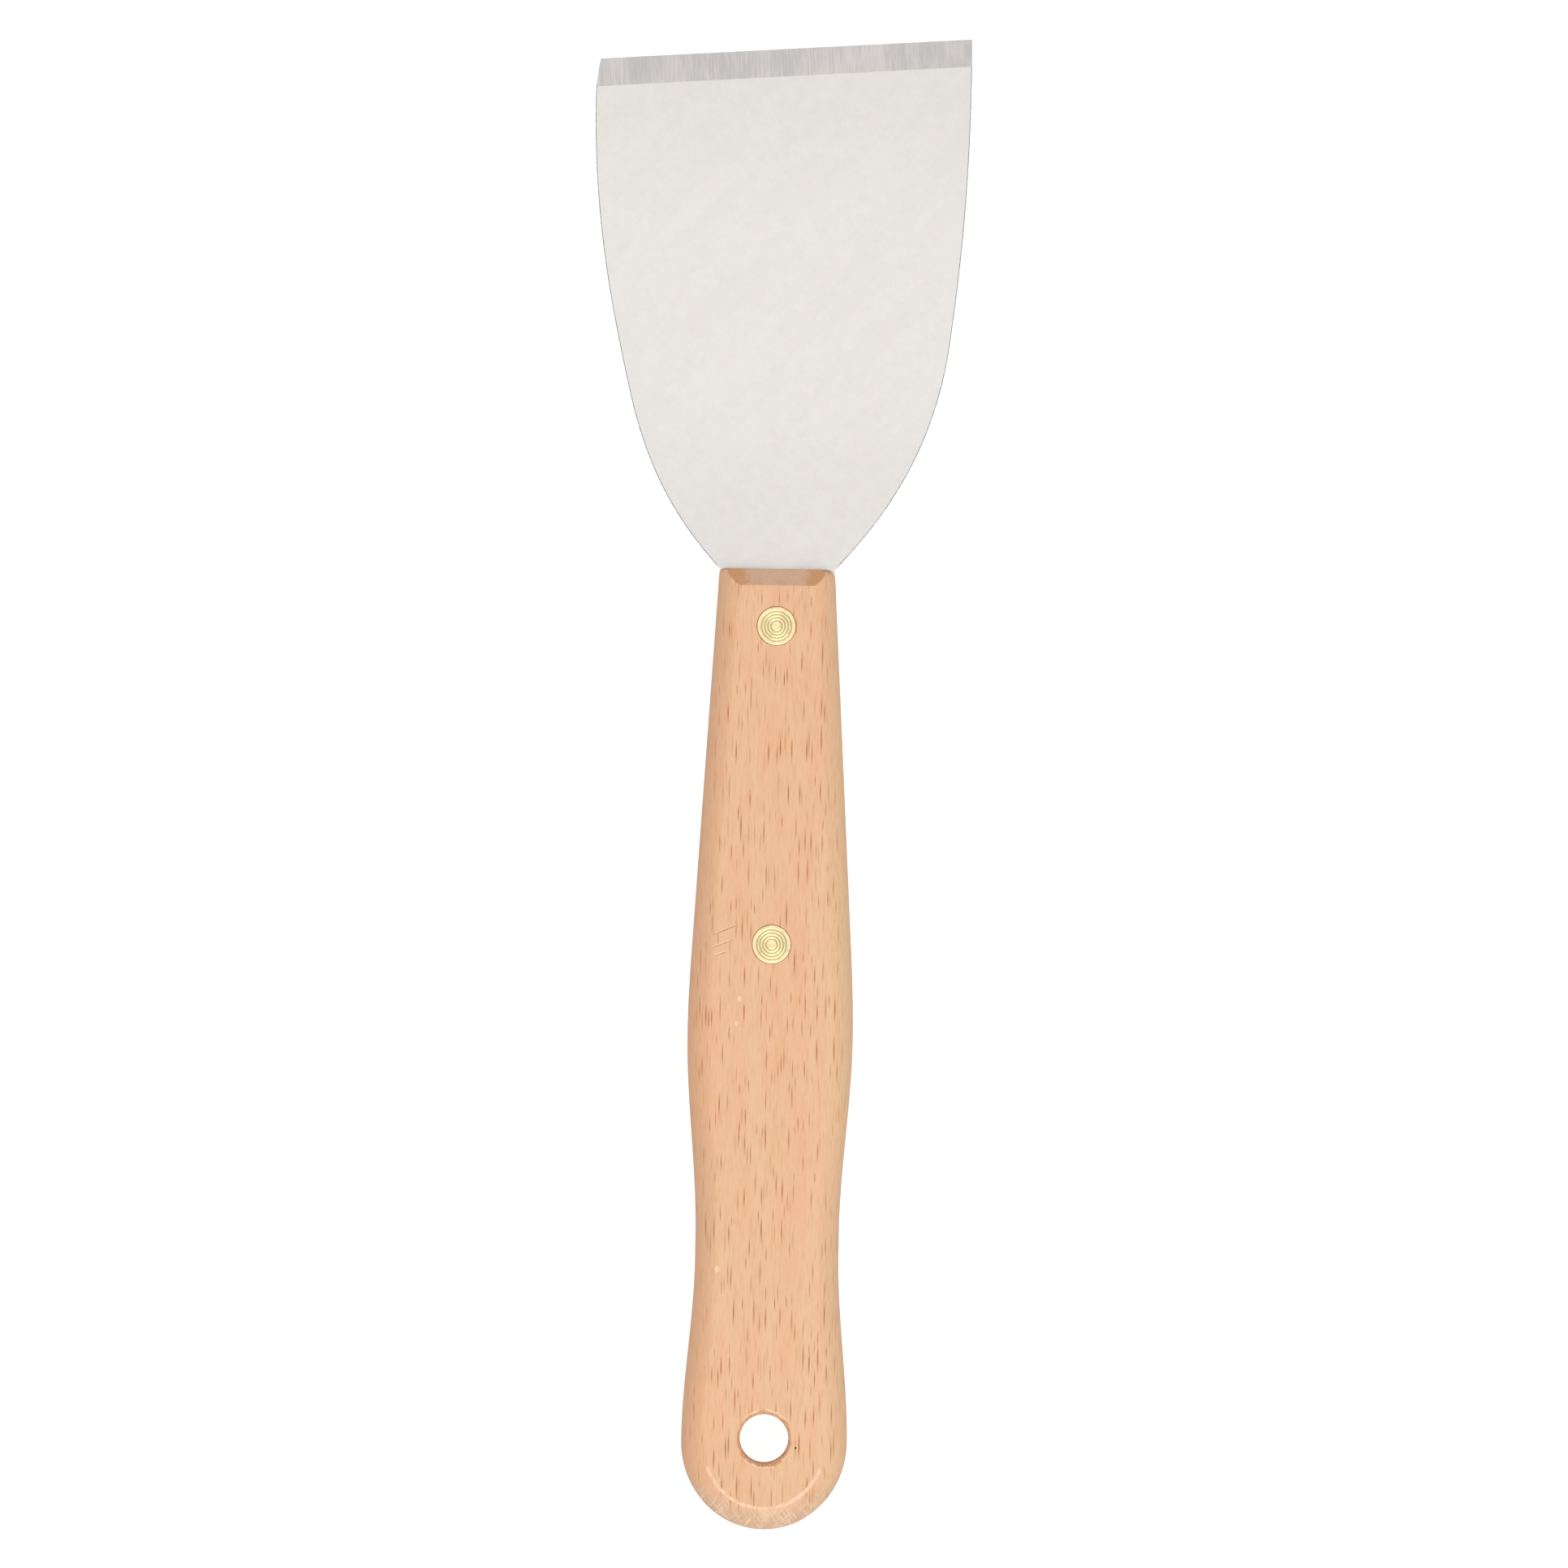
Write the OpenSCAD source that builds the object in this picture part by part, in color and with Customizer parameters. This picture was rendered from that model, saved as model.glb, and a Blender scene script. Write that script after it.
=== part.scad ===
// Drywall knife with a flared steel blade and a riveted beech handle.
// The knife lies flat on the handle's back face, blade towards +Y, with +Z up.
// The origin is at the middle of the overall length, on the handle's back face.

/* [Handle] */
// Length of the handle, from its front end to the butt
handle_len = 196.8; // [170:0.1:240]
// Thickness of the handle between its two flat faces
handle_t = 13; // [10:0.5:18]
// Width of the handle at its front end
front_w = 23.7; // [20:0.1:28]
// Width of the belly, where the palm sits
belly_w = 33.9; // [29:0.1:42]
// Distance of the belly from the front end
belly_at = 96; // [84:0.5:116]
// Length over which the straight taper eases into the belly
belly_ease = 16; // [5:1:30]
// Width of the waist, behind the belly
waist_w = 29.4; // [24:0.1:36]
// Distance of the waist's middle from the front end
waist_at = 138.5; // [128:0.5:148]
// Length over which the waist stays narrow
waist_len = 5; // [0:0.5:12]
// Width of the round butt
butt_w = 34; // [30:0.1:40]
// Length of the half ellipse that rounds the butt off
butt_len = 18; // [12:0.1:22]
// How far the bullnose of the sides reaches in over each flat face
side_round = 4.4; // [1:0.1:5]
// Length of the bevel on the front end, along the handle
bevel_len = 3.4; // [0.5:0.1:6]
// Depth of that bevel below each flat face
bevel_depth = 2.4; // [0.5:0.1:3.5]

/* [Hang hole] */
// Bore of the hang hole
hole_d = 10; // [4:0.1:14]
// Distance of the hang hole's centre from the butt
hole_from_butt = 18.7; // [15:0.1:30]
// Width of the broken edge round the hang hole
hole_rim = 1.1; // [0.2:0.1:2]

/* [Blade] */
// Length of the working edge
edge_len = 76.2; // [63:0.1:102]
// How far the middle of the edge stands out of the handle
exposure = 106.7; // [88:0.1:130]
// Thickness of the blade sheet
blade_t = 1.2; // [0.6:0.1:2]
// Angle of the edge from square to the handle, right corner further out
edge_skew = 3.8; // [0:0.1:8]
// How far the middle of the edge sits to the right of the handle's middle line
edge_shift = 0.25; // [0:0.05:1]
// Angle of the blade's sides from the middle line, at the handle
neck_flare = 43.5; // [30:0.5:50]
// How far the left shoulder sits inside the left corner
left_shoulder_in = 7.1; // [3:0.1:14]
// Distance of the left shoulder from the handle
left_shoulder_at = 35.6; // [28:0.1:45]
// Angle of the left side from the middle line, at its shoulder
left_shoulder_lean = 13.5; // [6:0.5:24]
// How far the left side swells past the left corner at its widest
left_swell = 0.9; // [0:0.1:2]
// How far the right shoulder sits inside the right corner
right_shoulder_in = 3.6; // [2:0.1:12]
// Distance of the right shoulder from the handle
right_shoulder_at = 46.6; // [28:0.1:52]
// Angle of the right side from the middle line, at its shoulder
right_shoulder_lean = 7.5; // [4:0.5:24]
// How far the right side swells past the right corner at its widest
right_swell = 0.1; // [0:0.1:2]
// Distance of the widest place of each side from its corner, as left and right
widest_back = [9, 3]; // [3:1:20]
// Width of the ground strip along the working edge
grind_w = 5.6; // [2:0.1:12]
// Thickness that is left at the working edge
edge_t = 0.6; // [0.2:0.05:1]

/* [Tang] */
// How far the tang reaches past the rear rivet, inside the handle
tang_past_rivet = 11.1; // [10:0.1:20]
// Width of the tang at its round end
tang_end_w = 20; // [12:0.5:22]
// Radius of the saw that cut the kerf, which leaves the end of the kerf round
saw_r = 75; // [40:1:120]

/* [Rivets] */
// Distance of the front rivet from the handle's front end
front_rivet_at = 11.7; // [9:0.1:20]
// Distance of the rear rivet from the handle's front end
rear_rivet_at = 76.9; // [60:0.1:110]
// Diameter of a rivet head
head_d = 8; // [6:0.1:11]
// Thickness of a rivet head
head_t = 1.3; // [0.8:0.1:2]
// How far the heads stand proud of the handle's front face
head_proud = 0.25; // [0:0.05:0.5]
// Diameter of the solid pin
pin_d = 3.2; // [2:0.1:3.6]
// Outer diameter of the sleeve
sleeve_d = 4.8; // [4.2:0.1:6]
// How far the sleeve stops short of the pin's head
sleeve_short = 2; // [0.5:0.1:3]
// Number of ring grooves turned in each head
ring_count = 4; // [0:1:5]
// Distance of the outermost ring groove from the head's rim
ring_margin = 0.94; // [0.3:0.02:1.5]
// Distance from one ring groove to the next
ring_pitch = 0.64; // [0.4:0.02:0.7]
// Depth of a ring groove
ring_depth = 0.12; // [0.02:0.02:0.2]

/* [Fits] */
// How far the blade's neck sits inside each side of the handle's front end
neck_in = 0.05; // [0:0.05:1]
// Gap between the tang and each wall of the kerf
kerf_gap = 0.05; // [0.02:0.01:0.2]
// Gap between the tang's end and the end of the kerf
kerf_end_gap = 1.5; // [0.5:0.1:4]
// Gap round the sleeve in the handle and in the tang
sleeve_gap = 0.05; // [0.02:0.01:0.2]
// Gap round a rivet head in its counterbore
head_gap = 0.05; // [0.02:0.01:0.2]
// Gap between the pin and the sleeve's bore
pin_gap = 0.02; // [0.01:0.01:0.1]

/* [Hidden] */
$fn = 96;

// Overrun of a cutting shape past the face that it cuts
over = 1;
mid_z = handle_t / 2;
butt_r = butt_w / 2;
// The round butt is a half ellipse about this distance from the front end
butt_at = handle_len - butt_len;

// Corners of the working edge, measured from the middle of the handle's front end
half_across = edge_len * cos(edge_skew) / 2;
corner_rise = edge_len * sin(edge_skew) / 2;
left_corner = [edge_shift - half_across, exposure - corner_rise];
right_corner = [edge_shift + half_across, exposure + corner_rise];

// Places along the knife in the part's own frame
front_y = (handle_len - right_corner.y) / 2;
butt_y = front_y - handle_len;
hole_y = butt_y + hole_from_butt;
tang_len = rear_rivet_at + tang_past_rivet;
kerf_end_y = front_y - tang_len - kerf_end_gap;

// Width of the blade where it meets the handle
neck_w = front_w - 2 * neck_in;

// Bullnose of the sides: an arc about the middle plane that meets the faces side_round in
nose_r = (mid_z * mid_z + side_round * side_round) / (2 * side_round);
nose_end = asin(mid_z / nose_r);
nose_steps = 14;
// Share of the arc that the loft runs on past each face, to be cut off flat
nose_over = 1.06;

// Half the handle's width at distance s from its front end
taper = (belly_w - front_w) / (2 * belly_at - belly_ease);
ease_from = belly_at - belly_ease;
waist_from = waist_at - waist_len / 2;
waist_to = waist_at + waist_len / 2;

function smooth(a, b, t) = a + (b - a) * t * t * (3 - 2 * t);

function half_width(s) =
    s < ease_from ? front_w / 2 + taper * s :
    s < belly_at ? belly_w / 2 - taper * pow(belly_at - s, 2) / (2 * belly_ease) :
    s < waist_from ? smooth(belly_w, waist_w, (s - belly_at) / (waist_from - belly_at)) / 2 :
    s < waist_to ? waist_w / 2 :
    smooth(waist_w, butt_w, (s - waist_to) / (butt_at - waist_to)) / 2;

// A point of the right side at distance s, moved in square to the outline
function side_point(s, inset) =
    let (
        step = 0.01,
        slope = (half_width(s + step) - half_width(s - step)) / (2 * step),
        out = [1, slope] / norm([1, slope])
    )
    [half_width(s), -s] - inset * out;

// Distances at which the right side has a corner: one straight taper, then the curves
curve_steps = 30;
side_stations = [
    -over,
    for (i = [0 : curve_steps]) ease_from + (butt_at - 0.02 - ease_from) * i / curve_steps
];
butt_steps = 24;

// A point of the butt's half ellipse at angle a from the right, moved in square to it
function butt_point(a, inset) =
    let (
        lean = [cos(a) / butt_r, -sin(a) / butt_len],
        out = lean / norm(lean)
    )
    [butt_r * cos(a), -butt_at - butt_len * sin(a)] - inset * out;

// One ring of the loft, moved in by inset, from the front round the butt to the front
function plan_ring(inset) = [
    for (s = side_stations) side_point(s, inset),
    for (i = [1 : butt_steps - 1]) butt_point(180 * i / butt_steps, inset),
    for (i = [len(side_stations) - 1 : -1 : 0])
        let (p = side_point(side_stations[i], inset))
        [-p.x, p.y]
];

// Closed loft through rings of equal length
module loft(rings) {
    n = len(rings[0]);
    top = len(rings) - 1;
    polyhedron(
        points = [for (ring = rings) each ring],
        faces = [
            [for (i = [n - 1 : -1 : 0]) i],
            for (k = [0 : top - 1]) for (i = [0 : n - 1])
                let (a = k * n + i, b = k * n + (i + 1) % n)
                each [[a, b, b + n], [a, b + n, a + n]],
            [for (i = [0 : n - 1]) top * n + i]
        ]
    );
}

// The handle with no holes: lofted sides, cut flat at both faces and at the front end
module handle_blank() {
    intersection() {
        translate([0, front_y, 0])
            loft([
                for (k = [0 : nose_steps])
                    let (a = nose_end * nose_over * (2 * k / nose_steps - 1))
                    [for (p = plan_ring(nose_r - nose_r * cos(a)))
                        [p.x, p.y, mid_z + nose_r * sin(a)]]
            ]);
        translate([-belly_w, butt_y - over, 0])
            cube([2 * belly_w, handle_len + over, handle_t]);
    }
}

// Block that takes the bevel off the upper edge of the front end
module front_bevel_cut() {
    translate([0, front_y - bevel_len, handle_t])
        rotate([-atan2(bevel_depth, bevel_len), 0, 0])
            translate([-belly_w / 2, -over, 0])
                cube([belly_w, 2 * bevel_len + 2 * over, 2 * bevel_depth + over]);
}

// Saw kerf for the tang, open at both sides, its end as round as the saw
module kerf_cut() {
    kerf_t = blade_t + 2 * kerf_gap;
    // The saw's disc is as wide as the handle from here on
    straight_from = kerf_end_y + saw_r - sqrt(saw_r * saw_r - belly_w * belly_w / 4);
    translate([0, 0, mid_z - kerf_t / 2]) {
        translate([0, kerf_end_y + saw_r, 0])
            cylinder(r = saw_r, h = kerf_t);
        translate([-belly_w, straight_from, 0])
            cube([2 * belly_w, front_y + over - straight_from, kerf_t]);
    }
}

// Hole for one rivet: clearance for the sleeve and a counterbore for each head
module rivet_hole_cut(at) {
    bore_d = sleeve_d + 2 * sleeve_gap;
    bore_head_d = head_d + 2 * head_gap;
    translate([0, front_y - at, 0]) {
        translate([0, 0, -over])
            cylinder(d = bore_d, h = handle_t + 2 * over);
        translate([0, 0, -over])
            cylinder(d = bore_head_d, h = head_t + over);
        translate([0, 0, handle_t + head_proud - head_t])
            cylinder(d = bore_head_d, h = head_t + over);
    }
}

// Hang hole with a broken edge at each face
module hang_hole_cut() {
    translate([0, hole_y, 0]) {
        translate([0, 0, -over])
            cylinder(d = hole_d, h = handle_t + 2 * over);
        for (flip = [0, 1])
            translate([0, 0, mid_z])
                mirror([0, 0, flip])
                    translate([0, 0, mid_z - hole_rim])
                        cylinder(
                            d1 = hole_d,
                            d2 = hole_d + 2 * (hole_rim + over),
                            h = hole_rim + over
                        );
    }
}

// Curve from a to b, each [x, y, lean], where lean is the angle from the middle line
curve_pull = 0.36;
blade_steps = 16;
function lean_dir(p) = [sin(p.z), cos(p.z)];
function between(a, b) =
    let (
        from = [a.x, a.y],
        to = [b.x, b.y],
        pull = curve_pull * norm(to - from),
        c1 = from + pull * lean_dir(a),
        c2 = to - pull * lean_dir(b)
    )
    [
        for (i = [0 : blade_steps - 1])
            let (t = i / blade_steps, u = 1 - t)
            u * u * u * from + 3 * u * u * t * c1 + 3 * u * t * t * c2 + t * t * t * to
    ];

// One side of the blade, from the neck to its corner, bulging towards +X
function blade_side(corner, shoulder_in, shoulder_at, shoulder_lean, swell, back) =
    let (
        neck = [neck_w / 2, 0, neck_flare],
        shoulder = [corner.x - shoulder_in, shoulder_at, shoulder_lean],
        widest = [corner.x + swell, corner.y - back, 0],
        tip = [corner.x, corner.y, -atan2(2 * swell, back)]
    )
    concat(between(neck, shoulder), between(shoulder, widest), between(widest, tip), [corner]);

function mirrored(points) = [for (i = [len(points) - 1 : -1 : 0]) [-points[i].x, points[i].y]];

// Outline of blade and tang in one sheet, less the tang's round end
module sheet_outline() {
    right = blade_side(
        right_corner, right_shoulder_in, right_shoulder_at,
        right_shoulder_lean, right_swell, widest_back[1]
    );
    left = blade_side(
        [-left_corner.x, left_corner.y], left_shoulder_in, left_shoulder_at,
        left_shoulder_lean, left_swell, widest_back[0]
    );
    round_at = tang_end_w / 2 - tang_len;
    polygon(concat(
        [[tang_end_w / 2, round_at]],
        right,
        mirrored(left),
        [[-tang_end_w / 2, round_at]]
    ));
    translate([0, round_at])
        circle(d = tang_end_w);
}

// Block that grinds the strip along the working edge
module grind_cut() {
    grind_angle = atan2(blade_t - edge_t, grind_w);
    translate([edge_shift, front_y + exposure, mid_z + blade_t / 2])
        rotate([0, 0, edge_skew])
            translate([-edge_len, -grind_w, 0])
                rotate([-grind_angle, 0, 0])
                    cube([2 * edge_len, 2 * grind_w, 2 * blade_t]);
}

// The two hammered halves of a rivet share this head, face up at z = head_t
module head_profile() {
    difference() {
        square([head_d / 2, head_t]);
        for (i = [0 : ring_count - 1])
            translate([head_d / 2 - ring_margin - i * ring_pitch, head_t])
                circle(r = ring_depth, $fn = 4);
    }
}

// Male half: grooved head over a solid pin that reaches down into the sleeve
module rivet_pin(at) {
    top_z = handle_t + head_proud;
    pin_len = top_z - 2 * head_t - sleeve_short;
    translate([0, front_y - at, top_z - head_t])
        rotate_extrude() {
            head_profile();
            translate([0, -pin_len])
                square([pin_d / 2, pin_len + head_t / 2]);
        }
}

// Female half: grooved head, flush with the back face, under a tubular sleeve
module rivet_sleeve(at) {
    bore_r = pin_d / 2 + pin_gap;
    sleeve_top = handle_t + head_proud - head_t - sleeve_short;
    translate([0, front_y - at, 0])
        rotate_extrude() {
            translate([0, head_t])
                mirror([0, 1])
                    head_profile();
            translate([bore_r, head_t / 2])
                square([sleeve_d / 2 - bore_r, sleeve_top - head_t / 2]);
        }
}

// Flared blade, with the tang in the handle's kerf and a hole for each rivet
module blade() {
    color("gainsboro")
        difference() {
            translate([0, front_y, mid_z - blade_t / 2])
                linear_extrude(blade_t)
                    sheet_outline();
            grind_cut();
            for (at = [front_rivet_at, rear_rivet_at])
                translate([0, front_y - at, mid_z - blade_t])
                    cylinder(d = sleeve_d + 2 * sleeve_gap, h = 2 * blade_t);
        }
}

// One-piece beech handle
module handle() {
    color("burlywood")
        difference() {
            handle_blank();
            front_bevel_cut();
            translate([0, 0, handle_t])
                mirror([0, 0, 1])
                    front_bevel_cut();
            kerf_cut();
            rivet_hole_cut(front_rivet_at);
            rivet_hole_cut(rear_rivet_at);
            hang_hole_cut();
        }
}

module front_rivet_pin() {
    color("khaki") rivet_pin(front_rivet_at);
}

module front_rivet_sleeve() {
    color("khaki") rivet_sleeve(front_rivet_at);
}

module rear_rivet_pin() {
    color("khaki") rivet_pin(rear_rivet_at);
}

module rear_rivet_sleeve() {
    color("khaki") rivet_sleeve(rear_rivet_at);
}

blade();
handle();
front_rivet_pin();
front_rivet_sleeve();
rear_rivet_pin();
rear_rivet_sleeve();
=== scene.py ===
"""Drywall knife: a flared steel blade riveted into a beech handle, built round its fixed CAD frame."""

import math

import bmesh
import bpy
from bpy.props import FloatProperty, FloatVectorProperty, IntProperty, PointerProperty
from mathutils import Matrix, Vector, noise


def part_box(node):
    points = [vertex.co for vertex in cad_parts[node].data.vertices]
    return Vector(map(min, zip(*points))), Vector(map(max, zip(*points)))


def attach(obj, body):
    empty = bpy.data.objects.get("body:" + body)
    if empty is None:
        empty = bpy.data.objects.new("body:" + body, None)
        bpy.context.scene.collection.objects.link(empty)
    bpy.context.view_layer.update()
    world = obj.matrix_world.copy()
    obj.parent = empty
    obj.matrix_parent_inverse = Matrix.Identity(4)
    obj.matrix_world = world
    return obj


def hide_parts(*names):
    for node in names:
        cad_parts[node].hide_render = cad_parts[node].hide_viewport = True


bl_info = {
    "name": "Riveted Drywall Knife",
    "version": (1, 0, 0),
    "blender": (4, 5, 0),
    "location": "View3D > Sidebar > Knife",
    "description": "Builds a flared steel blade, its beech handle, brass rivets and a light table",
    "category": "Object",
}

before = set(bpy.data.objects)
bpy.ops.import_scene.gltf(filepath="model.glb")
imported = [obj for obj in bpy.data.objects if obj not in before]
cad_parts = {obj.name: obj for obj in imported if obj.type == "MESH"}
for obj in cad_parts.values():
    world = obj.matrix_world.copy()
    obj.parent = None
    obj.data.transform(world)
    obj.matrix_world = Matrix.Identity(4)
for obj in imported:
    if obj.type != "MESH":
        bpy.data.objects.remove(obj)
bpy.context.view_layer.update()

MM = 0.001
# Overrun of a cutting shape past the face that it cuts
OVER = 1 * MM
# Edges shorter than this are left over from cutting, and are closed up
SLIVER = 0.002 * MM
# Places nearer than this are taken as one
TOUCH = 0.001 * MM

# Scratches left of the rear rivet, in mm from its middle: each end's x and y, then the depth
SCRATCHES = (
    (-12.5, 1.7, -6.8, 4.0, 0.22),
    (-12.6, -1.0, -7.5, 1.1, 0.20),
    (-12.2, -2.6, -8.9, -1.4, 0.12),
)

# Knocks on the front face, in mm from the rear rivet's middle: x, y, radius, depth.
# The last is a deep pit beside the hang hole.
KNOCKS = (
    (-6.3, -11.3, 0.5, 0.08),
    (-6.9, -16.3, 0.4, 0.06),
    (-10.1, -66.7, 0.55, 0.1),
    (6.5, -103.0, 0.2, 1.2),
)

# How the torn rim of the hang hole rolls from the face into the bore, in shares of its width:
# depth below the face, then reach past the bore
RIM_ROLL = ((0.0, 1.0), (0.06, 0.7), (0.28, 0.42), (0.6, 0.14), (1.0, 0.0))


# ---------------------------------------------------------------- small helpers


def linear(hex_colour):
    """Linear RGBA of an sRGB hex colour, as Blender's colour sockets take it."""
    channels = [int(hex_colour[i : i + 2], 16) / 255 for i in (0, 2, 4)]
    return tuple(
        c / 12.92 if c <= 0.04045 else ((c + 0.055) / 1.055) ** 2.4 for c in channels
    ) + (1.0,)


def length(name, description, millimetres):
    """A length property, stored in metres."""
    return FloatProperty(
        name=name,
        description=description,
        default=millimetres * MM,
        min=0.0,
        precision=5,
        unit="LENGTH",
        subtype="DISTANCE",
    )


def angle(name, description, degrees):
    """An angle property, stored in radians."""
    return FloatProperty(
        name=name,
        description=description,
        default=math.radians(degrees),
        unit="ROTATION",
        subtype="ANGLE",
    )


def colour(name, description, hex_colour):
    """A colour property with its default given as sRGB hex."""
    return FloatVectorProperty(
        name=name,
        description=description,
        default=linear(hex_colour),
        size=4,
        min=0.0,
        max=1.0,
        subtype="COLOR",
    )


# ---------------------------------------------------------------- sizes and colours


class HandleSizes(bpy.types.PropertyGroup):
    """Sizes of the wooden handle that its box doesn't give"""

    front_width: length("Front width", "Width at the front end", 23.7)
    belly_width: length("Belly width", "Width where the palm sits", 33.9)
    belly_at: length("Belly from front", "Distance of the belly from the front", 96)
    belly_ease: length("Belly ease", "Length over which the taper eases off", 16)
    waist_width: length("Waist width", "Width of the narrow waist", 29.4)
    waist_at: length("Waist from front", "Middle of the waist from the front", 138.5)
    waist_length: length("Waist length", "Length of the narrow waist", 5)
    butt_length: length("Butt length", "Length of the half ellipse of the butt", 18)
    side_round: length("Side round", "Reach of the bullnose over each face", 4.4)
    bevel_length: length("Bevel length", "Length of the front bevel", 3.4)
    bevel_depth: length("Bevel depth", "Depth of the front bevel", 2.4)
    left_corner: length("Left corner", "Rounding of the front left corner", 0.9)
    right_corner: length("Right corner", "Rounding of the front right corner", 1.6)
    arris: length("Arris", "How much sandpaper took off the faces' edges", 0.34)
    front_arris: length("Front arris", "Rounding of the sawn front's edges", 0.13)
    hole_radius: length("Hang hole radius", "Radius of the hang hole", 5.0)
    hole_from_butt: length("Hole from butt", "Hang hole's centre from the butt", 18.7)
    hole_rim: length("Hole rim", "Width of the hang hole's broken edge", 1.1)
    saw_radius: length("Saw radius", "Radius of the saw that cut the kerf", 75)
    kerf_end_gap: length("Kerf end gap", "Gap past the end of the tang", 1.5)
    kerf_gap: length("Kerf gap", "Gap between the tang and each kerf wall", 0.05)


class BladeSizes(bpy.types.PropertyGroup):
    """Sizes of the steel blade that its box doesn't give"""

    edge_length: length("Edge length", "Length of the working edge", 76.2)
    edge_skew: angle("Edge skew", "Angle of the edge from square", 3.8)
    edge_shift: length("Edge shift", "Edge's middle to the right of the axis", 0.25)
    neck_in: length("Neck in", "Neck's step in from the handle's sides", 0.05)
    neck_flare: angle("Neck flare", "Angle of the sides at the handle", 43.5)
    left_shoulder_in: length("Left shoulder in", "Left shoulder inside its corner", 7.1)
    left_shoulder_at: length("Left shoulder at", "Left shoulder from the handle", 35.6)
    left_lean: angle("Left lean", "Angle of the left side at its shoulder", 13.5)
    left_swell: length("Left swell", "Left side's swell past its corner", 0.9)
    left_back: length("Left widest back", "Left side's widest place from its corner", 9)
    right_shoulder_in: length("Right shoulder in", "Right shoulder inside its corner", 3.6)
    right_shoulder_at: length("Right shoulder at", "Right shoulder from the handle", 46.6)
    right_lean: angle("Right lean", "Angle of the right side at its shoulder", 7.5)
    right_swell: length("Right swell", "Right side's swell past its corner", 0.1)
    right_back: length("Right widest back", "Right side's widest place from its corner", 3)
    ground_width: length("Ground width", "Width of the ground strip", 5.6)
    edge_thickness: length("Edge thickness", "Thickness left at the edge", 0.6)
    side_radius: length("Side radius", "Rounding of the stamped sides", 0.16)
    corner_radius: length("Corner radius", "Wear of the right corner", 0.4)
    tang_end_width: length("Tang end width", "Width of the tang's round end", 20)


class RivetSizes(bpy.types.PropertyGroup):
    """Sizes of the two-part rivets that their boxes don't give"""

    head_thickness: length("Head thickness", "Thickness of a head", 1.3)
    pin_radius: length("Pin radius", "Radius of the solid pin", 1.6)
    sleeve_radius: length("Sleeve radius", "Outer radius of the sleeve", 2.4)
    sleeve_gap: length("Sleeve gap", "Gap round the sleeve", 0.05)
    pin_gap: length("Pin gap", "Gap between pin and sleeve", 0.02)
    seat_gap: length("Seat gap", "Gap round a head", 0.04)
    rings: IntProperty(name="Rings", description="Ring grooves in a head", default=4, min=0)
    ring_margin: length("Ring margin", "Outer groove from the rim", 0.94)
    ring_pitch: length("Ring pitch", "Distance between grooves", 0.64)
    ring_width: length("Ring width", "Half-width of a groove", 0.17)
    ring_depth: length("Ring depth", "Depth of a groove", 0.12)
    rim_round: length("Rim round", "Rounding of a head's rim", 0.3)
    front_tilt: angle("Front tilt", "Lean of the front rivet's head", 1.3)


class KnifeColours(bpy.types.PropertyGroup):
    """Colours of the knife and of the table that it lies on"""

    beech: colour("Beech", "Sanded face of the wood", "D3A885")
    # Pink beech also stands in for painted shade down the handle's left side, and pale beech for
    # painted light down its right side
    beech_pink: colour("Pink beech", "Pinker patches of the wood", "D3A37F")
    beech_pale: colour("Pale beech", "Yellower bands of the wood", "D3AC86")
    beech_late: colour("Late wood", "Darker grain of the wood", "C39066")
    beech_ray: colour("Ray flecks", "Short dark flecks along the grain", "A0622F")
    beech_end: colour("End grain", "Sanded wood cut across the grain", "C59F80")
    beech_ring: colour("Pale rings", "Pale rings and rays of the end grain", "DCBC9E")
    sawn: colour("Sawn beech", "Rough wood of the front end", "BC8B61")
    sawn_grey: colour("Grey sawn beech", "Greyer patches of the front end", "C39F84")
    # Torn beech also stands in for painted shade on the scratches' walls that face the blade
    torn: colour("Torn beech", "Raw wood of the bored and sawn walls", "D8A983")
    torn_shade: colour("Torn shade", "Shaded hollows between torn fibres", "B98659")
    # Crushed beech also stands in for a painted highlight on the butt's arris and on the scratches'
    # walls that face the softbox
    crushed: colour("Crushed beech", "Wood scraped or crushed by a blow", "E0C1A5")
    steel: colour("Steel", "Satin-ground steel", "D6D2CE")
    steel_dull: colour("Dull steel", "Smeared steel", "CDC9C5")
    strip: colour("Ground strip", "Coarsely ground steel", "C6C1BE")
    strip_dull: colour("Dull strip", "Dull bands of the ground strip", "B3B0AF")
    # Sheared steel is partly the rough grey of the stamped sides and partly painted shade that darkens
    # them
    sheared_and_shaded: colour("Sheared steel", "Torn sides of the sheet", "6E6C6A")
    brass: colour("Brass", "Pale brass", "F0DAB0")
    brass_dull: colour("Dull brass", "Tarnish on the brass", "B4A86C")
    table: colour("Table", "Pale table", "737372")


GROUPS = {
    "knife_handle": HandleSizes,
    "knife_blade": BladeSizes,
    "knife_rivets": RivetSizes,
    "knife_colours": KnifeColours,
}


# ---------------------------------------------------------------- places from the frame


def places():
    """Named places and sizes of the knife, worked out from the boxes of its CAD nodes."""
    handle_low, handle_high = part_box("handle")
    blade_low, blade_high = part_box("blade")
    return {
        "front": handle_high.y,
        "butt": handle_low.y,
        "thickness": handle_high.z,
        "middle": handle_high.z / 2,
        "butt_half": handle_high.x,
        "tang_end": blade_low.y,
        "blade_back": blade_low.z,
        "blade_face": blade_high.z,
        "right_corner": blade_high.y,
    }


def foot_of(node):
    """Where a rivet node's axis meets the handle's back face."""
    low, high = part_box(node)
    return Vector(((low.x + high.x) / 2, (low.y + high.y) / 2, 0))


# ---------------------------------------------------------------- mesh helpers


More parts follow.
